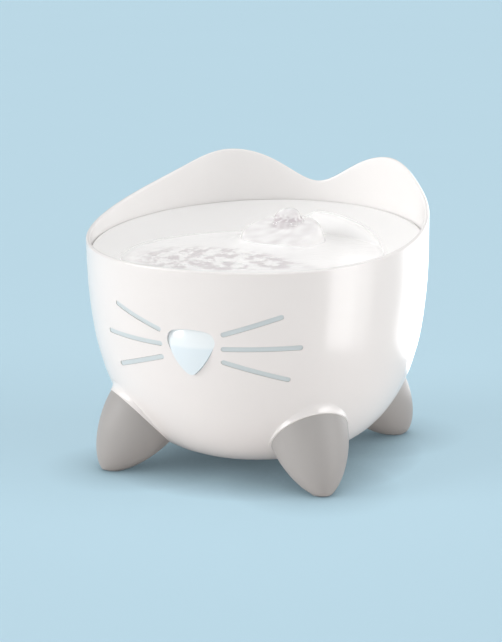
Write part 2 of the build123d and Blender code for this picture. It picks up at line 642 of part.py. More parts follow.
def make_drinking_tray():
    below = seat_slab(-TRAY_BLANK, 0)
    upper = dish_void(0)
    lower = dish_void(TRAY_WALL)
    disc = tray_blank(TRAY_EDGE)
    dish = (disc & below & lower) - upper
    skirt = (disc - tray_blank(TRAY_EDGE - TRAY_WALL)) & seat_slab(-TRAY_SKIRT, 0)
    tray = dish + (skirt - upper)
    mound = mound_solid(0)
    tray += mound & lower
    tray -= mound_solid(TRAY_WALL)
    socket = cyl(SOCKET_BORE + SOCKET_WALL, SOCKET_BOTTOM, SPOUT_SEAT, 0, SPOUT_Y)
    tray += socket
    tray -= cyl(SOCKET_BORE + SOCKET_WALL, SPOUT_SEAT, SPOUT_SEAT + TRAY_BLANK, 0, SPOUT_Y)
    tray -= cyl(SOCKET_BORE, SOCKET_BOTTOM - 1, SPOUT_SEAT + 1, 0, SPOUT_Y)
    tray -= Pos(0, -TRAY_EDGE + FINGER_REACH - FINGER_RADIUS, 0) * tray_blank(FINGER_RADIUS)
    slot = extrude(SlotCenterToCenter(DRAIN_LENGTH, DRAIN_WIDTH, rotation=90), 2 * TRAY_BLANK)
    slot = Pos(0, -TRAY_EDGE + DRAIN_INSET, SEAT_HEIGHT - TRAY_BLANK) * slot
    for bearing in DRAIN_BEARINGS:
        tray -= at_bearing(bearing) * slot
    return tray


def make_spout():
    flange_top = SPOUT_SEAT + SPOUT_FLANGE_THICKNESS
    spout = cyl(SPOUT_BODY, SPOUT_SEAT - SPOUT_LENGTH, flange_top, 0, SPOUT_Y)
    flange = cyl(SPOUT_FLANGE, SPOUT_SEAT, flange_top, 0, SPOUT_Y)
    spout += fillet(flange.faces().sort_by(Axis.Z)[-1].edges(), 1.0)
    spout -= cyl(SPOUT_BORE, SPOUT_SEAT - SPOUT_LENGTH - 1, flange_top + 1, 0, SPOUT_Y)
    blade = block(-SPOUT_BORE - 0.5, SPOUT_BORE + 0.5, -SPOUT_BLADE / 2, SPOUT_BLADE / 2,
                  SPOUT_SEAT - SPOUT_LENGTH, SPOUT_SEAT)
    for turn in (0, 60, 120):
        spout += Pos(0, SPOUT_Y, 0) * Rot(0, 0, turn) * blade
    return spout + cyl(SPOUT_HUB, SPOUT_SEAT - SPOUT_LENGTH, SPOUT_SEAT + 0.6, 0, SPOUT_Y)


# ---------------------------------------------------------------- chamber, filter, lid
def chamber_slab(inset, low, high):
    """Prism of the chamber's rounded outline, moved inwards by inset."""
    outline = RectangleRounded(CHAMBER_WIDTH - 2 * inset, CHAMBER_DEPTH - 2 * inset, CHAMBER_CORNER - inset)
    return Pos(0, CHAMBER_Y, low) * extrude(outline, high - low)


def make_pump_chamber():
    body = chamber_slab(0, CHAMBER_UNDERSIDE, CHAMBER_TOP)
    body = fillet(body.faces().sort_by(Axis.Z)[0].edges(), CHAMBER_ROUND)
    hollow = chamber_slab(CHAMBER_WALL, CHAMBER_UNDERSIDE + CHAMBER_WALL, CHAMBER_TOP + 1)
    hollow = fillet(hollow.faces().sort_by(Axis.Z)[0].edges(), CHAMBER_ROUND - CHAMBER_WALL)
    chamber = body - hollow
    ledge = chamber_slab(CHAMBER_WALL - 0.5, FILTER_LEDGE - FILTER_LEDGE_THICKNESS, FILTER_LEDGE)
    ledge -= chamber_slab(CHAMBER_WALL + FILTER_LEDGE_WIDTH, 0, CHAMBER_TOP)
    chamber += ledge
    floor = bowl_solid(BOWL_WALL + LEG_GAP, BOWL_SHOULDER + 1)
    for x in (-LEG_SPREAD_X, LEG_SPREAD_X):
        for y in (-LEG_SPREAD_Y, LEG_SPREAD_Y):
            chamber += cyl(LEG_RADIUS, 0, CHAMBER_UNDERSIDE + 1, x, CHAMBER_Y + y) & floor
    chamber -= cyl_y(LEAD_RADIUS + 0.2, PUMP_Y, INLET_OUTER_Y, LEAD_X, LEAD_Z)
    return chamber


FILTER_INSET = CHAMBER_WALL + FILTER_GAP


def filter_slab(inset, low, high):
    """Prism of the filter's outline with its notch for the riser."""
    notch = cyl(FILTER_NOTCH + inset - FILTER_INSET, low - 1, high + 1, 0, SPOUT_Y)
    mouth = block(-FILTER_NOTCH - inset + FILTER_INSET, FILTER_NOTCH + inset - FILTER_INSET,
                  SPOUT_Y, FAR, low - 1, high + 1)
    return chamber_slab(inset, low, high) - notch - mouth


def make_filter_frame():
    frame = filter_slab(FILTER_INSET, FILTER_LEDGE, FILTER_TOP)
    frame -= filter_slab(FILTER_INSET + FILTER_WALL, FILTER_LEDGE + FILTER_FLOOR, FILTER_TOP + 1)
    holes = Box(GRID_HOLE, GRID_HOLE, 4 * FILTER_FLOOR)
    inside = filter_slab(FILTER_INSET + 3 * FILTER_WALL, 0, FAR)
    grid = [Pos(x, y, 0) * holes for x, y in grid_points()]
    openings = Pos(0, CHAMBER_Y, FILTER_LEDGE) * Compound(grid)
    return frame - (openings & inside)


def grid_points():
    reach_x = int(CHAMBER_WIDTH / 2 / GRID_PITCH)
    reach_y = int(CHAMBER_DEPTH / 2 / GRID_PITCH)
    for i in range(-reach_x, reach_x + 1):
        for j in range(-reach_y, reach_y + 1):
            yield i * GRID_PITCH, j * GRID_PITCH


def make_filter_foam():
    low = FILTER_LEDGE + FILTER_FLOOR
    return filter_slab(FILTER_INSET + FILTER_WALL + FILTER_PAD_GAP, low, low + FILTER_FOAM)


def make_filter_carbon():
    low = FILTER_LEDGE + FILTER_FLOOR + FILTER_FOAM
    return filter_slab(FILTER_INSET + FILTER_WALL + FILTER_PAD_GAP, low, FILTER_TOP - 1)


def make_chamber_lid():
    lid = chamber_slab(0, CHAMBER_TOP, CHAMBER_TOP + LID_THICKNESS)
    lid = fillet(lid.faces().sort_by(Axis.Z)[-1].edges(), 1.2)
    skirt = chamber_slab(CHAMBER_WALL + FIT_GAP, CHAMBER_TOP - LID_SKIRT, CHAMBER_TOP)
    lid += skirt - chamber_slab(CHAMBER_WALL + FIT_GAP + 1.6, 0, CHAMBER_TOP)
    lid -= cyl(RISER_OUTER, 0, FAR, 0, SPOUT_Y)
    slot = extrude(SlotOverall(LID_SLOT_LENGTH, LID_SLOT_WIDTH, rotation=90), 10)
    for i in range(LID_SLOT_COUNT):
        x = (i - (LID_SLOT_COUNT - 1) / 2) * LID_SLOT_PITCH
        lid -= Pos(x, LID_SLOT_Y, CHAMBER_TOP - 1) * slot
    return lid


def make_riser_tube():
    collar_low = CHAMBER_TOP + LID_THICKNESS
    tube = cyl(RISER_OUTER, RISER_BOTTOM, RISER_TOP, 0, SPOUT_Y)
    tube = chamfer(tube.faces().sort_by(Axis.Z)[-1].edges(), 0.6)
    tube += cyl(RISER_COLLAR, collar_low, collar_low + RISER_COLLAR_THICKNESS, 0, SPOUT_Y)
    tube -= cyl(RISER_BORE, 0, FAR, 0, SPOUT_Y)
    half = ORING_SECTION + 0.1
    groove = cyl(RISER_OUTER + 1, ORING_HEIGHT - half, ORING_HEIGHT + half, 0, SPOUT_Y)
    return tube - (groove - cyl(oring_inner(), 0, FAR, 0, SPOUT_Y))


def oring_inner():
    """Radius of the groove floor that the O-ring sits on."""
    return SOCKET_BORE - ORING_SQUEEZE_GAP - 2 * ORING_SECTION


def make_riser_seal():
    return Pos(0, SPOUT_Y, ORING_HEIGHT) * Torus(oring_inner() + ORING_SECTION, ORING_SECTION)


# ---------------------------------------------------------------- pump
def make_pump_body():
    motor = block(PUMP_BACK_X, MOTOR_FRONT_X, PUMP_Y - PUMP_HALF_Y, PUMP_Y + PUMP_HALF_Y,
                  PUMP_Z - PUMP_HALF_Z, PUMP_Z + PUMP_HALF_Z)
    motor = fillet(motor.edges().filter_by(Axis.X), PUMP_ROUND)
    body = motor + cyl_x(VOLUTE_RADIUS, MOTOR_FRONT_X, VOLUTE_FRONT_X)
    body += cyl(OUTLET_OUTER, PUMP_Z, OUTLET_TOP, 0, SPOUT_Y)
    body -= cyl_x(VOLUTE_BORE, VOLUTE_BACK_X, VOLUTE_FRONT_X + 1)
    body -= cyl(OUTLET_BORE, PUMP_Z, OUTLET_TOP + 1, 0, SPOUT_Y)
    body -= cyl_x(WELL_BORE, WELL_END_X, VOLUTE_BACK_X + 1)
    body -= cyl_x(BUSH_RADIUS, WELL_END_X - BUSH_LENGTH, WELL_END_X + 1)
    cavity = block(STATOR_BACK_X - STATOR_GAP, STATOR_FRONT_X + STATOR_GAP,
                   PUMP_Y - STATOR_HALF_Y - STATOR_GAP, PUMP_Y + STATOR_HALF_Y + STATOR_GAP,
                   PUMP_Z - STATOR_HALF_Z - STATOR_GAP, PUMP_Z + STATOR_HALF_Z + STATOR_GAP)
    body -= cavity - cyl_x(WELL_BORE + WELL_WALL, PUMP_BACK_X, MOTOR_FRONT_X)
    for x, y in cup_places():
        body -= cyl(CUP_NECK, PUMP_Z - PUMP_HALF_Z - 1, PUMP_Z - PUMP_HALF_Z + CUP_PLUG, x, y)
    return body


def cup_places():
    for x in CUP_X:
        for side in (-CUP_SPREAD_Y, CUP_SPREAD_Y):
            yield x, PUMP_Y + side


def make_stator_core():
    core = block(STATOR_BACK_X, STATOR_FRONT_X, PUMP_Y - STATOR_HALF_Y, PUMP_Y + STATOR_HALF_Y,
                 PUMP_Z - STATOR_HALF_Z, PUMP_Z + STATOR_HALF_Z)
    core -= cyl_x(WELL_BORE + WELL_WALL + STATOR_GAP, PUMP_BACK_X, MOTOR_FRONT_X)
    return core - block(STATOR_BACK_X - 1, STATOR_FRONT_X + 1, PUMP_Y - COIL_HALF_Y, PUMP_Y + COIL_HALF_Y,
                        PUMP_Z - STATOR_HALF_Z - 1, PUMP_Z - STATOR_HALF_Z + COIL_HEIGHT)


def make_stator_coil():
    return block(STATOR_BACK_X, STATOR_FRONT_X, PUMP_Y - COIL_HALF_Y + STATOR_GAP,
                 PUMP_Y + COIL_HALF_Y - STATOR_GAP, PUMP_Z - STATOR_HALF_Z,
                 PUMP_Z - STATOR_HALF_Z + COIL_HEIGHT - STATOR_GAP)


def make_impeller():
    impeller = cyl_x(ROTOR_HUB, ROTOR_BACK_X, IMPELLER_FRONT_X)
    impeller += cyl_x(IMPELLER_RADIUS, IMPELLER_BACK_X, IMPELLER_BACK_X + IMPELLER_PLATE)
    blade = block(IMPELLER_BACK_X, IMPELLER_FRONT_X, -BLADE_THICKNESS / 2, BLADE_THICKNESS / 2,
                  0, IMPELLER_RADIUS - 0.2)
    for i in range(BLADE_COUNT):
        impeller += Pos(0, PUMP_Y, PUMP_Z) * Rot(360 * i / BLADE_COUNT, 0, 0) * blade
    return impeller - cyl_x(SHAFT_RADIUS + SHAFT_CLEARANCE, PUMP_BACK_X, VOLUTE_FRONT_X)


def make_rotor_magnet():
    return cyl_x(ROTOR_RADIUS, ROTOR_BACK_X, ROTOR_FRONT_X) - cyl_x(ROTOR_HUB, PUMP_BACK_X, VOLUTE_FRONT_X)


BUSH_REAR_X = WELL_END_X - BUSH_LENGTH
BUSH_FRONT_X = VOLUTE_FRONT_X - COVER_SPIGOT


def make_bush(low):
    return cyl_x(BUSH_RADIUS, low, low + BUSH_LENGTH) - cyl_x(SHAFT_RADIUS, low - 1, low + BUSH_LENGTH + 1)


def make_impeller_shaft():
    return cyl_x(SHAFT_RADIUS, BUSH_REAR_X, BUSH_FRONT_X + BUSH_LENGTH)


def make_pump_cover():
    face = VOLUTE_FRONT_X
    front = face + COVER_THICKNESS
    cover = cyl_x(VOLUTE_RADIUS, face, front)
    spigot = cyl_x(VOLUTE_BORE - 0.1, face - COVER_SPIGOT, face)
    cover += spigot - cyl_x(VOLUTE_BORE - 0.1 - COVER_SPIGOT_WALL, face - COVER_SPIGOT - 1, face)
    cover -= cyl_x(INTAKE_RADIUS, face - 1, front + 1)
    cover += cyl_x(COVER_HUB, face - COVER_SPIGOT, front)
    spoke = block(face, front, -SPOKE_WIDTH / 2, SPOKE_WIDTH / 2, COVER_HUB - 0.5, INTAKE_RADIUS + 0.5)
    for i in range(SPOKE_COUNT):
        cover += Pos(0, PUMP_Y, PUMP_Z) * Rot(360 * i / SPOKE_COUNT + 45, 0, 0) * spoke
    cap_low = front + 2 * DIAL_GAP + DIAL_THICKNESS
    cover += cyl_x(DIAL_PIN, front, cap_low)
    cap = cyl_x(DIAL_CAP, cap_low, cap_low + DIAL_CAP_THICKNESS)
    cover += fillet(cap.faces().sort_by(Axis.X)[-1].edges(), 0.8)
    return cover - cyl_x(BUSH_RADIUS, face - COVER_SPIGOT - 1, BUSH_FRONT_X + BUSH_LENGTH)


def make_flow_dial():
    low = VOLUTE_FRONT_X + COVER_THICKNESS + DIAL_GAP
    dial = cyl_x(DIAL_RADIUS, low, low + DIAL_THICKNESS)
    tab = block(low, low + 3 * DIAL_THICKNESS, -DIAL_TAB_WIDTH / 2, DIAL_TAB_WIDTH / 2,
                DIAL_RADIUS - 1.5, DIAL_RADIUS + DIAL_TAB_REACH)
    dial += Pos(0, PUMP_Y, PUMP_Z) * tab
    dial -= cyl_x(DIAL_PIN + DIAL_PIN_CLEARANCE, low - 1, low + DIAL_THICKNESS + 1)
    window = cyl_x(INTAKE_RADIUS, low - 1, low + DIAL_THICKNESS + 1, 0, 0)
    window -= cyl_x(COVER_HUB + 0.6, low - 2, low + DIAL_THICKNESS + 2, 0, 0)
    wedge = block(low - 1, low + DIAL_THICKNESS + 1, 0, FAR, 0, FAR)
    window &= wedge
    for turn in (22, 202):
        dial -= Pos(0, PUMP_Y, PUMP_Z) * Rot(turn, 0, 0) * window
    return dial


def make_suction_cups():
    floor = CHAMBER_UNDERSIDE + CHAMBER_WALL
    top = PUMP_Z - PUMP_HALF_Z
    cups = []
    for x, y in cup_places():
        skirt = Pos(x, y, (floor + CUP_LIP + top - 1) / 2) * Cone(CUP_RADIUS, CUP_NECK, top - 1 - floor - CUP_LIP)
        cup = skirt + cyl(CUP_RADIUS, floor, floor + CUP_LIP, x, y)
        cup += cyl(CUP_NECK, top - 1.2, top + CUP_PLUG, x, y)
        cups.append(cup - Pos(x, y, floor - 0.5) * Cone(CUP_RADIUS - 1, 0.4, 3))
    return Compound(cups)


def make_pump_lead():
    """Two-core lead from the pump's side to the inlet's tail."""
    start = PUMP_Y + PUMP_HALF_Y
    end = INLET_INNER_Y - INLET_NUT_THICKNESS - INLET_TAIL
    route = FilletPolyline((LEAD_X, start, LEAD_Z), (LEAD_X, LEAD_TURN_Y, LEAD_Z),
                           (0, LEAD_TURN_Y, INLET_HEIGHT), (0, end, INLET_HEIGHT), radius=LEAD_BEND)
    section = Plane(origin=route @ 0, z_dir=route % 0) * Circle(LEAD_RADIUS)
    return sweep(section, path=route)


# ---------------------------------------------------------------- inlet
def make_power_inlet():
    face = INLET_OUTER_Y + INLET_SEAL
    front = face + INLET_FLANGE_THICKNESS
    tail = INLET_INNER_Y - INLET_NUT_THICKNESS - INLET_TAIL
    flange = cyl_y(INLET_FLANGE, face, front)
    inlet = fillet(flange.faces().sort_by(Axis.Y)[-1].edges(), 0.8)
    inlet += cyl_y(INLET_BODY, tail, face)
    return inlet - cyl_y(INLET_SOCKET, front - INLET_SOCKET_DEPTH, front + 1)


def make_inlet_pin():
    front = INLET_OUTER_Y + INLET_SEAL + INLET_FLANGE_THICKNESS
    pin = cyl_y(INLET_PIN, front - INLET_SOCKET_DEPTH, front - 1.5)
    return fillet(pin.faces().sort_by(Axis.Y)[-1].edges(), 0.5)


def make_inlet_seal():
    ring = cyl_y(INLET_FLANGE, INLET_OUTER_Y, INLET_OUTER_Y + INLET_SEAL)
    return ring - cyl_y(INLET_BODY, 0, FAR)


def make_inlet_nut():
    low = INLET_INNER_Y - INLET_NUT_THICKNESS
    hexagon = extrude(RegularPolygon(INLET_NUT, 6), INLET_NUT_THICKNESS)
    nut = Pos(0, INLET_INNER_Y, INLET_HEIGHT) * Rot(90, 0, 0) * hexagon
    return nut - cyl_y(INLET_BODY, low - 1, INLET_INNER_Y + 1)


# ---------------------------------------------------------------- write every part
def build():
    collar = bowl_solid(0, BOWL_BLANK_TOP, HOOD_PROUD)
    window = make_window_right()
    parts = {
        "reservoir_shell": make_reservoir_shell(collar),
        "foot_pads": make_foot_pads(),
        "whisker_window_right": window,
        "whisker_window_left": mirror(window, Plane.YZ),
        "nose_lens": make_nose_lens(),
        "nose_gasket": make_nose_gasket(),
        "light_housing": make_light_housing(),
        "light_board": make_light_board(),
        "light_leds": make_leds(),
        "light_screws": make_light_screws(),
        "light_lead": make_light_lead(),
        "power_inlet": make_power_inlet(),
        "inlet_pin": make_inlet_pin(),
        "inlet_seal": make_inlet_seal(),
        "inlet_nut": make_inlet_nut(),
        "pump_chamber": make_pump_chamber(),
        "filter_frame": make_filter_frame(),
        "filter_foam": make_filter_foam(),
        "filter_carbon": make_filter_carbon(),
        "chamber_lid": make_chamber_lid(),
        "riser_tube": make_riser_tube(),
        "riser_seal": make_riser_seal(),
        "pump_body": make_pump_body(),
        "stator_core": make_stator_core(),
        "stator_coil": make_stator_coil(),
        "impeller": make_impeller(),
        "rotor_magnet": make_rotor_magnet(),
        "impeller_shaft": make_impeller_shaft(),
        "shaft_bush_rear": make_bush(BUSH_REAR_X),
        "shaft_bush_front": make_bush(BUSH_FRONT_X),
        "pump_cover": make_pump_cover(),
        "flow_dial": make_flow_dial(),
        "suction_cups": make_suction_cups(),
        "pump_lead": make_pump_lead(),
        "drinking_tray": make_drinking_tray(),
        "spout": make_spout(),
    }
    for name, bearing in FOOT_BEARINGS.items():
        parts[name] = make_foot(collar, bearing)
    return parts


os.makedirs("parts", exist_ok=True)
for name, solid in build().items():
    export_step(solid, f"parts/{name}.step")
    print(name, round(solid.volume, 1))
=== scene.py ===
from math import atan2, cos, degrees, exp, hypot, pi, radians, sin

import bpy
from mathutils import Matrix, Vector, noise
from mathutils.bvhtree import BVHTree


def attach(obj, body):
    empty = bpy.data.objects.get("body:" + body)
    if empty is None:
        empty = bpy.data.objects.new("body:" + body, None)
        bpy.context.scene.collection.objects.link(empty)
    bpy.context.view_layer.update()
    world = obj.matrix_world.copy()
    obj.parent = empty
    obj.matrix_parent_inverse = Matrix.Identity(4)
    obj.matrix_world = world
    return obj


# Studio scene of a pet water fountain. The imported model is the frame; this
# script adds its finishes, the water in its tray, the light and the camera.
# Metres, +Z up, the face looks to -Y. Azimuths and bearings are in degrees,
# 0 in front of the face and growing toward +X; colours are linear.

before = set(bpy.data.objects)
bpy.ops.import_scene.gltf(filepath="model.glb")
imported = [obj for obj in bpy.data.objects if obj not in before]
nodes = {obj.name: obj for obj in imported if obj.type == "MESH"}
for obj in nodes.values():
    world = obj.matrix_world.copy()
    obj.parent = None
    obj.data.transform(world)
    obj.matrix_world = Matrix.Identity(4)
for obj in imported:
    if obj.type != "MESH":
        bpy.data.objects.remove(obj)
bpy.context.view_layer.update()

MM = 0.001
UP = Vector((0, 0, 1))
BOWL_RADIUS = 107 * MM


# ---------------------------------------------------------------- general helpers
def clamp(value):
    """The value, kept within 0 to 1."""
    return max(0.0, min(1.0, value))


def smooth(value, low, high):
    """0 below low, 1 above high, smooth between."""
    t = clamp((value - low) / (high - low))
    return t * t * (3 - 2 * t)


def shade(colour, amount):
    """The colour so many times brighter, or darker below 1."""
    return tuple(clamp(channel * amount) for channel in colour)


def toward(azimuth, elevation=0.0):
    """Unit vector from the object in this direction, in degrees."""
    turn, rise = radians(azimuth), radians(elevation)
    return Vector((sin(turn) * cos(rise), -cos(turn) * cos(rise), sin(rise)))


def axes_at(place, right, up, back):
    """Matrix of an object that stands at the place with these three axes."""
    turn = Matrix((right, up, back)).transposed()
    return Matrix.Translation(place) @ turn.to_4x4()


def add_object(name, data):
    """New object of the scene, at the origin."""
    item = bpy.data.objects.new(name, data)
    bpy.context.collection.objects.link(item)
    return item


# ---------------------------------------------------------------- node kit
NOISE_LOW = 0.3               # Blender's noise is mostly between these two
NOISE_HIGH = 0.7


class Nodes:
    """A node tree, with the few calls that the makers below need."""

    def __init__(self, owner):
        owner.use_nodes = True
        self.tree = owner.node_tree
        self.tree.nodes.clear()

    def add(self, kind, inputs=None, **settings):
        """New node; its inputs go by name or number, each a constant or an output."""
        node = self.tree.nodes.new(kind)
        for key, value in settings.items():
            setattr(node, key, value)
        for key, value in (inputs or {}).items():
            self.feed(node.inputs[key], value)
        return node

    def feed(self, socket, value):
        """Links an output to the socket, or sets the socket to a constant."""
        if isinstance(value, bpy.types.NodeSocket):
            self.tree.links.new(value, socket)
        else:
            socket.default_value = value

    def math(self, operation, first, second):
        """Number worked out from two others."""
        node = self.add("ShaderNodeMath", {0: first, 1: second}, operation=operation)
        return node.outputs["Value"]

    def map_range(self, value, low, high, first, last, **settings):
        """Number that goes from first to last as the value goes from low to high."""
        inputs = {"Value": value, "From Min": low, "From Max": high, "To Min": first, "To Max": last}
        return self.add("ShaderNodeMapRange", inputs, **settings).outputs["Result"]

    def step(self, value, low, high):
        """0 below low, 1 above high, smooth between; it falls where low is the larger."""
        first, last = (0.0, 1.0) if low < high else (1.0, 0.0)
        ends = sorted((low, high))
        return self.map_range(value, *ends, first, last, interpolation_type="SMOOTHSTEP")


class Surface(Nodes):
    """A material with a Principled shader."""

    def __init__(self, name):
        self.material = bpy.data.materials.new(name)
        super().__init__(self.material)
        self.shader = self.add("ShaderNodeBsdfPrincipled")
        self.output = self.add("ShaderNodeOutputMaterial", {"Surface": self.shader.outputs["BSDF"]})
        self.place = self.add("ShaderNodeTexCoord").outputs["Object"]

    def set(self, **values):
        """Feeds the shader's own sockets; an underscore stands for a space."""
        for key, value in values.items():
            self.feed(self.shader.inputs[key.replace("_", " ")], value)

    def noise(self, scale, detail=2.0, roughness=0.5, stretch=(1, 1, 1)):
        """Noise over the object's own place, scale in features per metre."""
        mapping = self.add("ShaderNodeMapping", {"Scale": stretch, "Vector": self.place})
        inputs = {"Scale": scale, "Detail": detail, "Roughness": roughness}
        texture = self.add("ShaderNodeTexNoise", inputs)
        self.feed(texture.inputs["Vector"], mapping.outputs["Vector"])
        return texture.outputs["Fac"]

    def cells(self, scale):
        """Node of rounded cells, each with its own colour."""
        return self.add("ShaderNodeTexVoronoi", {"Scale": scale, "Vector": self.place})

    def stripes(self, scale):
        """Stripes side by side along X."""
        inputs = {"Scale": scale, "Vector": self.place}
        return self.add("ShaderNodeTexWave", inputs, bands_direction="X").outputs["Fac"]

    def attribute(self, name):
        """Number that the mesh carries under this name."""
        return self.add("ShaderNodeAttribute", attribute_name=name).outputs["Fac"]

    def ramp(self, value, low_colour, high_colour, low=NOISE_LOW, high=NOISE_HIGH):
        """Colour that runs from one to the other as the value goes from low to high."""
        node = self.add("ShaderNodeValToRGB", {"Fac": value})
        start, end = node.color_ramp.elements
        start.position = low
        start.color = (*low_colour, 1)
        end.position = high
        end.color = (*high_colour, 1)
        return node.outputs["Color"]

    def spread(self, value, low, high):
        """Number that noise moves about between low and high."""
        return self.map_range(value, NOISE_LOW, NOISE_HIGH, low, high)

    def bump(self, value, depth, strength):
        """Relief that stands up by the depth, in metres, where the value is high."""
        inputs = {"Distance": depth, "Strength": strength, "Height": value}
        return self.add("ShaderNodeBump", inputs).outputs["Normal"]

    def mix(self, share, first, second):
        """Shader that goes from the first to the second as the share grows."""
        return self.add("ShaderNodeMixShader", {"Fac": share, 1: first, 2: second}).outputs["Shader"]


# ---------------------------------------------------------------- kinds of material
ACRYLIC_IOR = 1.49
WATER_IOR = 1.33
WATER_PALE = (0.985, 0.98, 0.975)
# tone that the water is painted where shade falls on it or it mirrors darker things
WATER_PAINTED_SHADE = (0.60, 0.545, 0.568)
LENS_SPLIT = 0.60             # share of the nose lens's height above which it is painted paler, as a reflection
LENS_BLEND = 1.2 * MM         # half the height over which it changes


def moulded(name, colour, roughness, grain=900, grain_depth=0.0015 * MM, mottle=0.008,
            coat=0.0, gloss=0.5):
    """Injection-moulded plastic: faint flow mottling, fine grain, uneven gloss."""
    s = Surface(name)
    flow = s.noise(scale=22, detail=3)
    s.set(
        Base_Color=s.ramp(flow, shade(colour, 1 - mottle), shade(colour, 1 + mottle)),
        Roughness=s.spread(s.noise(scale=18, detail=0), roughness * 0.97, roughness * 1.03),
        Normal=s.bump(s.noise(scale=grain, detail=1), grain_depth, strength=0.5),
        Coat_Weight=coat,
        Coat_Roughness=0.16,
        Specular_IOR_Level=gloss,
    )
    return s


def rubber(name, colour, roughness=0.7):
    """Dull rubber with a trace of dust."""
    s = Surface(name)
    dust = s.noise(scale=300, detail=4)
    s.set(
        Base_Color=s.ramp(dust, colour, shade(colour, 1.25), low=0.35, high=0.75),
        Roughness=s.spread(s.noise(scale=900), roughness * 0.9, roughness),
        Normal=s.bump(s.noise(scale=2500), depth=0.03 * MM, strength=0.7),
    )
    return s


def metal(name, colour, roughness=0.28, stretch=(1, 1, 14)):
    """Drawn or turned metal; its fine lines are closest along the stretched axis."""
    s = Surface(name)
    lines = s.noise(scale=1400, detail=3, roughness=0.6, stretch=stretch)
    s.set(
        Base_Color=s.ramp(lines, shade(colour, 0.85), colour),
        Roughness=s.spread(lines, roughness * 0.7, roughness * 1.3),
        Normal=s.bump(lines, depth=0.01 * MM, strength=0.6),
        Metallic=1.0,
    )
    return s


def foam(name, colour):
    """Open-cell foam: dark pores between pale struts."""
    s = Surface(name)
    pores = s.cells(scale=900).outputs["Distance"]
    s.set(
        Base_Color=s.ramp(pores, shade(colour, 0.45), colour, low=0.15, high=0.6),
        Roughness=s.spread(s.noise(scale=500), 0.85, 0.95),
        Normal=s.bump(pores, depth=0.6 * MM, strength=0.9),
    )
    return s


def granules(name, colour):
    """Activated carbon: small dull grains of uneven darkness."""
    s = Surface(name)
    grains = s.cells(scale=700)
    tone = grains.outputs["Color"]
    s.set(
        Base_Color=s.ramp(tone, shade(colour, 0.5), shade(colour, 1.8), low=0.1, high=0.9),
        Roughness=s.spread(grains.outputs["Distance"], 0.45, 0.85),
        Normal=s.bump(grains.outputs["Distance"], depth=-0.8 * MM, strength=0.9),
    )
    return s


def winding(name, colour):
    """Enamelled copper wire laid side by side."""
    s = Surface(name)
    turns = s.stripes(scale=600)
    s.set(
        Base_Color=s.ramp(turns, shade(colour, 0.4), colour, low=0.1, high=0.6),
        Roughness=s.spread(s.noise(scale=800), 0.25, 0.4),
        Normal=s.bump(turns, depth=0.2 * MM, strength=0.9),
        Metallic=0.8,
    )
    return s


def laminated(name, colour):
    """Stack of thin steel sheets."""
    s = Surface(name)
    sheets = s.stripes(scale=900)
    s.set(
        Base_Color=s.ramp(sheets, shade(colour, 0.5), colour, low=0.2, high=0.5),
        Roughness=s.spread(s.noise(scale=900), 0.35, 0.5),
        Normal=s.bump(sheets, depth=0.1 * MM, strength=0.6),
        Metallic=0.9,
    )
    return s


def board(name, colour):
    """Circuit board: solder mask with paler tracks, over a fine weave."""
    s = Surface(name)
    inputs = {
        "Scale": 260,
        "Color1": (*colour, 1),
        "Color2": (*shade(colour, 0.8), 1),
        "Mortar": (*shade(colour, 1.9), 1),
        "Vector": s.place,
    }
    s.set(
        Base_Color=s.add("ShaderNodeTexBrick", inputs).outputs["Color"],
        Roughness=s.spread(s.noise(scale=700), 0.25, 0.4),
        Normal=s.bump(s.noise(scale=1500), depth=0.03 * MM, strength=0.6),
    )
    return s


def clear(name, colour, roughness, transmission, ior=ACRYLIC_IOR, mottle=0.01, glow=0.0):
    """Clear or milky plastic."""
    s = Surface(name)
    cloud = s.noise(scale=90)
    s.set(
        Base_Color=s.ramp(cloud, shade(colour, 1 - mottle), colour),
        Roughness=s.spread(s.noise(scale=60, detail=0), roughness * 0.95, roughness * 1.05),
        Normal=s.bump(s.noise(scale=120, detail=0), depth=0.01 * MM, strength=0.4),
        Transmission_Weight=transmission,
        IOR=ior,
        Coat_Weight=0.5,
        Coat_Roughness=0.03,
        Emission_Color=(*colour, 1),
        Emission_Strength=glow,
    )
    return s


def nose_lens(name, upper_painted_reflection, lower):
    """Lens with a little painted glow that stands for the LED light behind it, and painted paler above than
    below, as a reflection.
    """
    s = clear(name, lower, roughness=0.07, transmission=0.1, glow=0.10)
    heights = [vertex.co.z for vertex in nodes["nose_lens"].data.vertices]
    split = min(heights) + LENS_SPLIT * (max(heights) - min(heights))
    height = s.add("ShaderNodeSeparateXYZ", {"Vector": s.place}).outputs["Z"]
    lower_tone = s.shader.inputs["Base Color"].links[0].from_socket
    # the upper part is painted paler, as a reflection there
    inputs = {
        "Factor": s.step(height, split - LENS_BLEND, split + LENS_BLEND),
        "A": lower_tone,
        "B": (*upper_painted_reflection, 1),
    }
    s.set(Base_Color=s.add("ShaderNodeMix", inputs, data_type="RGBA").outputs["Result"])
    return s


def water(name, ripple_depth):
    """Water with ripples that its mesh is too coarse for. The mesh's painted shade, for shade
    and dark reflections on the water, takes its tone from pale to dark, and the mesh's veil says how much
    of it is seen."""
    s = Surface(name)
    s.set(
        Base_Color=s.ramp(s.attribute("painted_shade"), WATER_PALE, WATER_PAINTED_SHADE, low=0.0, high=1.0),
        Roughness=s.spread(s.noise(scale=260, detail=3), 0.03, 0.08),
        Normal=s.bump(s.noise(scale=210, detail=3, roughness=0.55), ripple_depth, strength=0.6),
        Alpha=s.attribute("veil"),
        IOR=WATER_IOR,
    )
    return s


# ---------------------------------------------------------------- finishes of the CAD nodes
def dress(surface, *names):
    """Gives these nodes the surface as their only material."""
    for name in names:
        mesh = nodes[name].data
        mesh.materials.clear()
        mesh.materials.append(surface.material)


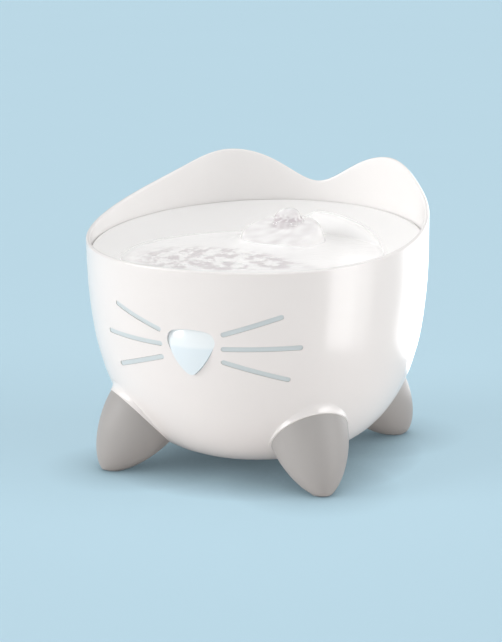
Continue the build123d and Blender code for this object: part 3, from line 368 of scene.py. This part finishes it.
def dress_outside():
    dress(moulded("bowl white", (0.908, 0.889, 0.877), 0.30, coat=0.6, gloss=0.35), "reservoir_shell")
    dress(moulded("tray white", (0.885, 0.877, 0.869), 0.34), "drinking_tray")
    dress(moulded("spout white", (0.86, 0.86, 0.87), 0.25), "spout")
    dress(
        moulded("foot grey", (0.425, 0.415, 0.407), 0.42, grain_depth=0.01 * MM, mottle=0.01, gloss=0.2),
        "foot_front_left", "foot_front_right", "foot_rear_left", "foot_rear_right",
    )
    dress(rubber("pad rubber", (0.30, 0.31, 0.32)), "foot_pads")
    dress(nose_lens("nose blue", upper_painted_reflection=(0.91, 0.975, 1.0), lower=(0.80, 0.895, 0.945)), "nose_lens")
    dress(
        clear("whisker frost", (0.73, 0.81, 0.835), 0.30, transmission=0.1, mottle=0.02),
        "whisker_window_left", "whisker_window_right",
    )


def dress_light_and_inlet():
    dress(rubber("seal rubber", (0.62, 0.63, 0.64)), "nose_gasket", "inlet_seal")
    dress(rubber("lead white", (0.74, 0.73, 0.72), 0.55), "light_lead")
    dress(moulded("housing white", (0.78, 0.79, 0.79), 0.5), "light_housing")
    dress(board("board green", (0.02, 0.11, 0.04)), "light_board")
    dress(clear("light lens", (0.95, 0.90, 0.66), 0.12, transmission=0.5, ior=1.5), "light_leds")
    dress(metal("screw steel", (0.62, 0.62, 0.63)), "light_screws")
    dress(
        moulded("inlet black", (0.022, 0.022, 0.024), 0.42, grain=1300, grain_depth=0.02 * MM, mottle=0.1),
        "power_inlet", "inlet_nut",
    )
    dress(metal("pin brass", (0.70, 0.50, 0.22), 0.2), "inlet_pin")


def dress_chamber_and_filter():
    dress(clear("chamber grey", (0.62, 0.65, 0.67), 0.28, transmission=0.25), "pump_chamber")
    dress(moulded("lid grey", (0.47, 0.50, 0.52), 0.38), "chamber_lid", "riser_tube")
    dress(moulded("filter white", (0.76, 0.76, 0.73), 0.5), "filter_frame")
    dress(foam("filter foam", (0.34, 0.50, 0.62)), "filter_foam")
    dress(granules("filter carbon", (0.025, 0.025, 0.027)), "filter_carbon")


def dress_pump():
    dress(
        moulded("pump black", (0.02, 0.02, 0.022), 0.45, grain=1100, grain_depth=0.03 * MM, mottle=0.1),
        "pump_body", "pump_cover",
    )
    dress(laminated("core steel", (0.42, 0.42, 0.43)), "stator_core")
    dress(winding("coil copper", (0.72, 0.32, 0.15)), "stator_coil")
    dress(moulded("impeller white", (0.72, 0.72, 0.69), 0.4), "impeller")
    dress(
        moulded("magnet black", (0.035, 0.035, 0.037), 0.35, grain=2600, grain_depth=0.04 * MM, mottle=0.2),
        "rotor_magnet",
    )
    dress(metal("shaft steel", (0.75, 0.75, 0.76), 0.12, stretch=(14, 1, 1)), "impeller_shaft")
    dress(
        rubber("dark rubber", (0.03, 0.03, 0.031)),
        "shaft_bush_rear", "shaft_bush_front", "suction_cups", "riser_seal", "pump_lead",
    )
    dress(moulded("dial grey", (0.27, 0.29, 0.30), 0.4), "flow_dial")


# ---------------------------------------------------------------- water in the tray
POOL_LEVEL = 128.4 * MM
POOL_VEIL = 0.85              # how much of the pool is seen, away from its edges
MOUND_AXIS = Vector((0, 42.0 * MM))
MOUND_RADIUS = 26.6 * MM      # inside the mound's wall at the pool's level
SPOUT_AXIS = Vector((0, 53.0 * MM))
SPOUT_TOP = 140.4 * MM
DISH_RADIUS = 96 * MM         # past it, a hole in the tray counts as dry

# the pool's edge is sought outward from the mound, then smoothed
EDGE_START = 8 * MM
EDGE_STEP = 0.25 * MM
EDGE_MARGIN = 0.5 * MM        # the water ends this far inside it
EDGE_NEIGHBOURS = 7           # on each side, for the mean

# the thin sheet behind the mound, by its bearing
SHEET_INSIDE = 70 * MM        # it lies between this radius and its reach
SHEET_REACH = 82.5 * MM
SHEET_GROWTH = 0.265 * MM     # more reach for each degree of these
SHEET_GROWS = (120, 172)
SHEET_ENDS = (182, 192)

# the pool's broken field, in front of the mound and to its left
FIELD_X = -14 * MM
FIELD_Y = -26 * MM
FIELD_WIDTH = 62 * MM         # half of it
FIELD_DEPTH = 36 * MM         # half of it, at the field's middle
FIELD_TAPER = 16 * MM         # less depth at the right end, and more at the left
FIELD_EDGE = 0.86             # where it is half calm, as a share of its size
FIELD_SHARPNESS = 22

# its ripples and the shade painted in the hollows between them, by their size from side to side and front
# to back
RIPPLE_SIZE = (13 * MM, 8 * MM)
RIPPLE_HEIGHT = 1 * MM
CALM_RIPPLE = 0.03            # share of that height which the calm part keeps
HOLLOW_SIZE = (8 * MM, 9 * MM)
HOLLOW_PAINTED_SHADE = 0.75

# the pool stands higher where the mound's water runs into it
SWELL = 3.5 * MM
SWELL_FADE = 7 * MM
SWELL_BEARING = 50            # degrees from +X to the side away from it

# the water that runs over the mound
FILM_DEPTH = 0.6 * MM
FILM_LEAST = 0.12 * MM
FILM_START = 6.0 * MM         # from the spout's axis, hidden by the bubble
FILM_OVERLAP = 5.5 * MM       # it ends this far out over the pool
FILM_SINK = 1.2 * MM          # and no lower than this under the pool's level
FILM_VEIL = 0.7
STREAK_WINDING = 36 * MM      # a streak turns by one radian over this length
STREAK_LENGTH = 30 * MM
ROLL_SIZE = 7 * MM
SHADOW_FADES = (11 * MM, 15 * MM)

BUBBLE_RADIUS = 8.6 * MM
BUBBLE_HEIGHT = 7.8 * MM
BUBBLE_GAP = 0.2 * MM         # between it and the spout's top
BUBBLE_VEIL = 0.85


class Sheet:
    """Water in the making: rings of points that close on themselves. Each point has
    its painted shade, how much darker the water is painted for shade and dark reflections, and its veil,
    how much it is seen."""

    def __init__(self, sides, rings):
        self.turns = [2 * pi * side / sides for side in range(sides)]
        self.shares = [ring / (rings - 1) for ring in range(rings)]
        self.points = []
        self.painted_shade = []
        self.veil = []

    def places(self):
        """Each place's turn round its ring, and its share of the way to the last ring."""
        for share in self.shares:
            for turn in self.turns:
                yield turn, share

    def add(self, point, painted_shade, veil):
        self.points.append(point)
        self.painted_shade.append(clamp(painted_shade))
        self.veil.append(clamp(veil))

    def faces(self):
        """Quads between neighbouring rings."""
        sides = len(self.turns)
        faces = []
        for ring in range(len(self.shares) - 1):
            here = ring * sides
            outer = here + sides
            for side in range(sides):
                after = (side + 1) % sides
                faces.append((here + side, outer + side, outer + after, here + after))
        return faces

    def make(self, name, surface, body):
        mesh = bpy.data.meshes.new(name)
        mesh.from_pydata(self.points, [], self.faces())
        mesh.materials.append(surface.material)
        for face in mesh.polygons:
            face.use_smooth = True
        for layer, values in (("painted_shade", self.painted_shade), ("veil", self.veil)):
            mesh.attributes.new(layer, "FLOAT", "POINT").data.foreach_set("value", values)
        piece = add_object(name, mesh)
        # the light passes it both ways, so its see-through edges don't darken the tray
        piece.visible_shadow = False
        piece.visible_diffuse = False
        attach(piece, body)


def top_of(*names):
    """Function that gives the height of the highest point of these nodes over a
    place, or 0 where there is none."""
    points, faces = [], []
    for name in names:
        start = len(points)
        mesh = nodes[name].data
        points += [vertex.co.copy() for vertex in mesh.vertices]
        faces += [[start + i for i in face.vertices] for face in mesh.polygons]
    tree = BVHTree.FromPolygons(points, faces)
    above = 400 * MM

    def height(x, y):
        hit = tree.ray_cast(Vector((x, y, above)), -UP)[0]
        return hit.z if hit else 0.0
    return height


def layer(flat, finer=1.0, shift=(0, 0, 0)):
    """Noise at a place, about -1 to 1, so many times finer and shifted."""
    return noise.noise(flat * finer + Vector(shift))


def ring_noise(turn, radius, depth):
    """Noise that closes on itself round a ring, about -1 to 1."""
    return noise.noise(Vector((cos(turn) * radius, sin(turn) * radius, depth)))


def choppiness(x, y):
    """How broken the pool's surface is: 1 in its field, 0 in the calm beyond."""
    across = (x - FIELD_X) / FIELD_WIDTH
    along = (y - FIELD_Y) / (FIELD_DEPTH - FIELD_TAPER * across)
    return 1 / (1 + exp((hypot(across, along) - FIELD_EDGE) * FIELD_SHARPNESS))


def ripple(x, y):
    """Height of the pool's ripples, in metres, where it is fully broken."""
    flat = Vector((x / RIPPLE_SIZE[0], y / RIPPLE_SIZE[1], 0))
    swell = layer(flat)
    chop = abs(layer(flat, finer=2.1, shift=(7, 3, 0)))
    fine = layer(flat, finer=4.3, shift=(2, 11, 0))
    return (0.7 * swell + 1.0 * chop + 0.3 * fine) * RIPPLE_HEIGHT


def hollow(x, y):
    """Shade painted in the hollows between the pool's ripples: 0 outside them, 1 in them."""
    flat = Vector((x / HOLLOW_SIZE[0], y / HOLLOW_SIZE[1], 5))
    depth = layer(flat) + 0.55 * layer(flat, finer=2.3) + 0.25 * layer(flat, finer=5)
    return smooth(depth, -0.12, 0.22)


def sheet_reach(x, y):
    """Radius to which the running water wets the dish at the back on the right."""
    bearing = degrees(atan2(x, -y)) % 360
    first, last = SHEET_GROWS
    growth = SHEET_GROWTH * max(0, min(bearing, last) - first)
    return (SHEET_REACH + growth) * (1 - smooth(bearing, *SHEET_ENDS))


def wet(x, y, height):
    """Whether the pool or its sheet covers the dish here; not in the finger notch."""
    radius = hypot(x, y)
    top = height(x, y)
    in_pool = top < POOL_LEVEL and (radius < DISH_RADIUS or top > 0)
    in_sheet = y > 0 and SHEET_INSIDE < radius < sheet_reach(x, y)
    return in_pool or in_sheet


def pool_edge(height, turns):
    """Distance from the mound's axis to the water's edge, by the turn round it."""
    edge = []
    for turn in turns:
        r = MOUND_RADIUS + EDGE_START
        while wet(MOUND_AXIS.x + r * cos(turn), MOUND_AXIS.y + r * sin(turn), height):
            r += EDGE_STEP
        edge.append(r)
    smoothed = {}
    for i, turn in enumerate(turns):
        window = range(i - EDGE_NEIGHBOURS, i + EDGE_NEIGHBOURS + 1)
        mean = sum(edge[k % len(edge)] for k in window) / len(window)
        smoothed[turn] = mean - EDGE_MARGIN
    return smoothed


def inflow_swell(turn, out):
    """How much higher the pool stands at this distance out from the mound: most of
    all downhill of the spout, in front on the left."""
    downhill = 0.25 + 0.75 * smooth(-cos(turn - radians(SWELL_BEARING)), -0.1, 0.7)
    return SWELL * downhill * exp(-out / SWELL_FADE)


def make_pool(height, surface):
    """Level water around the mound, out to where the dish rises above it, and a
    thin sheet that runs down the dish's side behind the mound on the right."""
    sheet = Sheet(sides=240, rings=90)
    edge = pool_edge(height, sheet.turns)
    for turn, share in sheet.places():
        r = MOUND_RADIUS + (edge[turn] - MOUND_RADIUS) * share
        out = r - MOUND_RADIUS
        x = MOUND_AXIS.x + r * cos(turn)
        y = MOUND_AXIS.y + r * sin(turn)
        # 0 at the water's edge, 1 from a fourteenth of the way in
        offshore = min(1, (1 - share) * 14)
        broken = choppiness(x, y)
        waves = (CALM_RIPPLE + broken) * ripple(x, y) * offshore
        level = POOL_LEVEL + waves + inflow_swell(turn, out)
        least = height(x, y) + (0.04 + 0.1 * offshore) * MM
        # shade painted in the hollows of the broken field
        painted_shade = HOLLOW_PAINTED_SHADE * broken * hollow(x, y)
        veil = POOL_VEIL * smooth(1 - share, 0, 0.18) * smooth(out, -1 * MM, 2 * MM)
        sheet.add((x, y, max(level, least)), painted_shade, veil)
    sheet.make("pool_water", surface, "tray")


def edge_distance(direction, radius):
    """Distance from the spout's axis to a circle round the mound's axis."""
    offset = SPOUT_AXIS - MOUND_AXIS
    along = offset.dot(direction)
    return -along + (along ** 2 + radius ** 2 - offset.length_squared) ** 0.5


def make_film(height, surface):
    """Water that runs from the spout over the mound into the pool, with streaks that
    wind as they run down, thicker and painted paler there as a reflection, and a painted
    shadow below the bubble in front."""
    sheet = Sheet(sides=180, rings=44)
    for turn, share in sheet.places():
        direction = Vector((cos(turn), sin(turn)))
        end = edge_distance(direction, MOUND_RADIUS + FILM_OVERLAP)
        r = FILM_START + (end - FILM_START) * share
        x = SPOUT_AXIS.x + r * direction.x
        y = SPOUT_AXIS.y + r * direction.y
        streak = ring_noise(turn + r / STREAK_WINDING, radius=4, depth=r / STREAK_LENGTH)
        roll = noise.noise(Vector((x / ROLL_SIZE, y / ROLL_SIZE, 9)))
        in_front = smooth(-direction.y + 0.7 * roll, -0.2, 0.7)
        shadow = in_front * (1 - smooth(r, *SHADOW_FADES))
        depth = FILM_DEPTH * (0.8 + 0.35 * streak + 0.25 * roll) * min(1, (1 - share) * 5)
        bed = max(height(x, y), POOL_LEVEL - FILM_SINK)
        # painted shade and reflection: paler along the streaks, darker with the roll and in the painted
        # shadow in front of the bubble
        painted_shade = 0.26 - 0.36 * streak + 0.3 * roll + 0.5 * shadow
        veil = FILM_VEIL * smooth(1 - share, 0, 0.1)
        sheet.add((x, y, bed + max(depth, FILM_LEAST)), painted_shade, veil)
    sheet.make("mound_water", surface, "tray")


def make_bubble(surface):
    """Smooth dome of water that the spout pushes up, broken along its foot and painted darker there with
    shade.
    """
    sheet = Sheet(sides=84, rings=34)
    for turn, share in sheet.places():
        climb = 0.5 * pi * share
        low = (1 - sin(climb)) ** 2
        lump = ring_noise(turn, radius=1.2, depth=climb * 1.4)
        foot = ring_noise(turn, radius=4, depth=climb * 5)
        r = BUBBLE_RADIUS * cos(climb) ** 0.75 * (1 + 0.12 * low)
        r *= 1 + (0.10 * lump + 0.05 * foot * low) * cos(climb)
        x = SPOUT_AXIS.x + r * cos(turn)
        y = SPOUT_AXIS.y + r * sin(turn)
        z = BUBBLE_HEIGHT * sin(climb) * (1 + 0.10 * lump * cos(climb))
        # painted shade: darker toward its foot and with its lumps
        painted_shade = 0.18 + 2.6 * low * (0.5 + foot) + 0.4 * lump
        sheet.add((x, y, SPOUT_TOP + BUBBLE_GAP + z), painted_shade, BUBBLE_VEIL)
    sheet.make("spout_bubble", surface, "tray")


def make_water():
    height = top_of("drinking_tray", "spout")
    make_pool(height, water("pool water", ripple_depth=0.12 * MM))
    running = water("running water", ripple_depth=0.3 * MM)
    make_film(height, running)
    make_bubble(running)


# ---------------------------------------------------------------- floor
FLOOR_COLOUR = (0.528, 0.731, 0.841)
FLOOR_BOUNCE = (0.98, 0.93, 0.905)
FLOOR_SIZE = 60.0             # from the middle to each side
FLOOR_OWN_LIGHT = 0.5         # share of what is seen of the floor that isn't lit by the lamps
CONTACT_SHADOW_REACH = 38 * MM       # the floor is painted with shadow this close to the object
CONTACT_SHADOW_SHARE = 0.75


def floor_surface():
    """Pale blue, partly lit by itself so that wide shadows stay pale, with a shadow
    painted into it close to the object. That is how the camera, gloss and clear pieces see it; what
    it throws back on the object is neutral, as from a white card."""
    s = Surface("studio floor")
    s.set(Base_Color=(*FLOOR_BOUNCE, 1), Roughness=0.9, Specular_IOR_Level=0.0)
    plain = s.ramp(s.noise(scale=3), shade(FLOOR_COLOUR, 0.995), FLOOR_COLOUR)
    # painted contact shadow: the floor's colour is darkened where the object is close above it
    near = s.add("ShaderNodeAmbientOcclusion", {"Distance": CONTACT_SHADOW_REACH}, samples=6)
    inputs = {"Factor": CONTACT_SHADOW_SHARE, "A": plain, "B": near.outputs["Color"]}
    shadowed = s.add("ShaderNodeMix", inputs, data_type="RGBA", blend_type="MULTIPLY")
    tone = shadowed.outputs["Result"]
    lit = s.add("ShaderNodeBsdfDiffuse", {"Color": tone}).outputs["BSDF"]
    own = s.add("ShaderNodeEmission", {"Color": tone}).outputs["Emission"]
    seen = s.mix(FLOOR_OWN_LIGHT, lit, own)
    path = s.add("ShaderNodeLightPath")
    direct = s.math("MAXIMUM", path.outputs["Is Camera Ray"], path.outputs["Is Glossy Ray"])
    direct = s.math("MAXIMUM", direct, path.outputs["Is Transmission Ray"])
    s.feed(s.output.inputs["Surface"], s.mix(direct, s.shader.outputs["BSDF"], seen))
    return s


def make_floor():
    """Floor that fills the view behind the object, to its horizon."""
    corners = [(-1, -1, 0), (1, -1, 0), (1, 1, 0), (-1, 1, 0)]
    mesh = bpy.data.meshes.new("floor")
    mesh.from_pydata([Vector(corner) * FLOOR_SIZE for corner in corners], [], [(0, 1, 2, 3)])
    mesh.materials.append(floor_surface().material)
    floor = add_object("studio_floor", mesh)


# ---------------------------------------------------------------- light
SOFT_EDGE = 5.0               # half the width of a soft box's edge, in degrees
STRIP_FOOT = 15 * MM          # height of the strips' lower ends
STRIP_HEIGHT = 190 * MM
DISH_LIGHT_RADIUS = 70 * MM
DISH_LIGHT_PLACE = Vector((82, -30, 330)) * MM
DISH_LIGHT_TARGET = Vector((-50, 40, 145)) * MM


class Sky(Nodes):
    """The studio's light: an even surround with soft boxes far away in it."""

    def __init__(self, level):
        world = bpy.data.worlds.new("studio")
        bpy.context.scene.world = world
        super().__init__(world)
        direction = self.add("ShaderNodeTexCoord").outputs["Generated"]
        flat = self.vector("MULTIPLY", {0: direction, 1: (1, 1, 0)}).outputs["Vector"]
        self.bearing = self.vector("NORMALIZE", {0: flat}).outputs["Vector"]
        self.rise = self.add("ShaderNodeSeparateXYZ", {"Vector": direction}).outputs["Z"]
        self.total = level

    def vector(self, operation, inputs):
        """Node that works out a vector, or a number from vectors."""
        return self.add("ShaderNodeVectorMath", inputs, operation=operation)

    def overhead(self, extra, low, high):
        """More light from above, growing between two elevations in degrees."""
        above = self.step(self.rise, sin(radians(low)), sin(radians(high)))
        self.total = self.math("ADD", self.total, self.math("MULTIPLY", above, extra))

    def soft_box(self, azimuth, half_width, low, high, brightness):
        """Upright box of light between two elevations, all in degrees."""
        side = self.vector("DOT_PRODUCT", {0: self.bearing, 1: toward(azimuth)}).outputs["Value"]
        outer, inner = half_width + SOFT_EDGE, half_width - SOFT_EDGE
        across = self.step(side, cos(radians(outer)), cos(radians(inner)))
        above = self.step(self.rise, sin(radians(low - SOFT_EDGE)), sin(radians(low + SOFT_EDGE)))
        below = self.step(self.rise, sin(radians(high + SOFT_EDGE)), sin(radians(high - SOFT_EDGE)))
        window = self.math("MULTIPLY", across, self.math("MULTIPLY", above, below))
        self.total = self.math("ADD", self.total, self.math("MULTIPLY", window, brightness))

    def finish(self):
        inputs = {"Color": (1, 1, 1, 1), "Strength": self.total}
        light = self.add("ShaderNodeBackground", inputs).outputs["Background"]
        self.add("ShaderNodeOutputWorld", {"Surface": light})


def add_lamp(name, shape, area, radiance):
    """Area lamp of this radiance that the camera doesn't see."""
    data = bpy.data.lights.new(name, "AREA")
    data.shape = shape
    data.energy = radiance * pi * area
    lamp = add_object(name, data)
    lamp.visible_camera = False
    return lamp


def add_strip(name, azimuth, bearing, distance, width, radiance):
    """Upright lamp for the gloss alone, mirrored in the bowl's side where that
    faces the azimuth: it stands from there in the direction of the bearing."""
    lamp = add_lamp(name, "RECTANGLE", width * STRIP_HEIGHT, radiance)
    lamp.data.size = width
    lamp.data.size_y = STRIP_HEIGHT
    lamp.visible_diffuse = False
    away = toward(bearing)
    middle = STRIP_FOOT + STRIP_HEIGHT / 2
    place = toward(azimuth) * BOWL_RADIUS + away * distance + UP * middle
    lamp.matrix_world = axes_at(place, UP.cross(away), UP, away)


def add_dish_light():
    """Soft lamp over the tray's right side, for the tray and the back wall's inside."""
    lamp = add_lamp("dish_light", "DISK", pi * DISH_LIGHT_RADIUS ** 2, radiance=1.2)
    lamp.data.size = 2 * DISH_LIGHT_RADIUS
    lamp.visible_glossy = False
    away = (DISH_LIGHT_PLACE - DISH_LIGHT_TARGET).normalized()
    turn = away.to_track_quat("Z", "Y").to_matrix()
    lamp.matrix_world = Matrix.Translation(DISH_LIGHT_PLACE) @ turn.to_4x4()


def make_lights():
    sky = Sky(level=0.385)
    sky.overhead(extra=0.44, low=40, high=60)
    sky.soft_box(azimuth=-55, half_width=17, low=6, high=30, brightness=6.9)
    sky.soft_box(azimuth=96, half_width=30, low=12, high=44, brightness=2.1)
    sky.finish()
    add_dish_light()
    add_strip("strip_right", azimuth=58, bearing=76, distance=133 * MM, width=66 * MM, radiance=3.6)
    add_strip("strip_right_soft", azimuth=62, bearing=96, distance=136 * MM, width=37 * MM, radiance=1.9)
    add_strip("strip_back", azimuth=90, bearing=163, distance=125 * MM, width=165 * MM, radiance=2.8)


# ---------------------------------------------------------------- camera, as the photograph's
PHOTO_HEIGHT = 642            # pixels; the sensor spans the height
SENSOR = 36.0                 # millimetres
CAMERA_AZIMUTH = 22.45
CAMERA_ELEVATION = 13.48
CAMERA_ROLL = -0.37
CAMERA_DISTANCE = 1304.5 * MM
CAMERA_TARGET = Vector((0, 0, 85.1 * MM))
FOCAL_PIXELS = 2064.6
OFFSET_PIXELS = 6.98          # the object stands this far right of the picture's middle


def make_camera():
    """The photograph's camera, as fitted to the object's outline in it."""
    data = bpy.data.cameras.new("camera")
    data.sensor_width = SENSOR
    data.lens = FOCAL_PIXELS * SENSOR / PHOTO_HEIGHT
    data.shift_x = -OFFSET_PIXELS / PHOTO_HEIGHT
    camera = add_object("camera", data)
    back = toward(CAMERA_AZIMUTH, CAMERA_ELEVATION)
    right = toward(CAMERA_AZIMUTH + 90)
    up = back.cross(right)
    roll = radians(CAMERA_ROLL)
    rolled_right = right * cos(roll) + up * sin(roll)
    rolled_up = up * cos(roll) - right * sin(roll)
    place = CAMERA_TARGET + back * CAMERA_DISTANCE
    camera.matrix_world = axes_at(place, rolled_right, rolled_up, back)
    bpy.context.scene.camera = camera


dress_outside()
dress_light_and_inlet()
dress_chamber_and_filter()
dress_pump()
make_water()
make_floor()
make_lights()
make_camera()
bpy.context.scene.view_settings.view_transform = "Standard"

bpy.context.view_layer.update()
